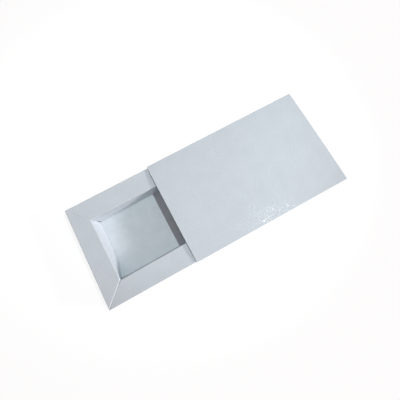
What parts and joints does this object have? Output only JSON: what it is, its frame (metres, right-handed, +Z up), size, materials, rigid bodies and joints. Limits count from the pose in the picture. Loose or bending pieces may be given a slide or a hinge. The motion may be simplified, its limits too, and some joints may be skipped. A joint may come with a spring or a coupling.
{
  "type": "drawer chocolate box",
  "caption": "Flat sleeve of folded white board with a frame tray that slides out of one end; wide mitred rim around one rectangular well.",
  "frame": {"origin": "middle of the sleeve's underside, on the surface that the box stands on", "axes": "+X along the sleeve, away from the tray's pull end; +Y across it, to the seam side; +Z up"},
  "size_m": [0.2598, 0.107, 0.0222],
  "materials": {
    "gloss_coated_board": "gloss",
    "uncoated_board": "matte"
  },
  "bodies": {
    "sleeve": {"sleeve_top_panel": "gloss_coated_board", "sleeve_bottom_panel": "gloss_coated_board", "sleeve_right_side": "gloss_coated_board", "sleeve_left_side": "gloss_coated_board", "sleeve_seam_flap": "uncoated_board"},
    "tray": {"tray_base": "gloss_coated_board", "tray_front_wall": "gloss_coated_board", "tray_front_rim": "gloss_coated_board", "tray_front_inner_wall": "gloss_coated_board", "tray_front_right_corner_tab": "uncoated_board", "tray_front_right_mitre_tab": "uncoated_board", "tray_front_left_corner_tab": "uncoated_board", "tray_front_left_mitre_tab": "uncoated_board", "tray_rear_wall": "gloss_coated_board", "tray_rear_rim": "gloss_coated_board", "tray_rear_inner_wall": "gloss_coated_board", "tray_rear_right_corner_tab": "uncoated_board", "tray_rear_right_mitre_tab": "uncoated_board", "tray_rear_left_corner_tab": "uncoated_board", "tray_rear_left_mitre_tab": "uncoated_board", "tray_left_wall": "gloss_coated_board", "tray_left_rim": "gloss_coated_board", "tray_left_inner_wall": "gloss_coated_board", "tray_right_wall": "gloss_coated_board", "tray_right_rim": "gloss_coated_board", "tray_right_inner_wall": "gloss_coated_board"}
  },
  "joints": [
    {"name": "tray_slide", "type": "slide", "parent": "sleeve", "child": "tray", "axis": [-1, 0, 0], "range_m": [-0.0913, 0.067]}
  ]
}
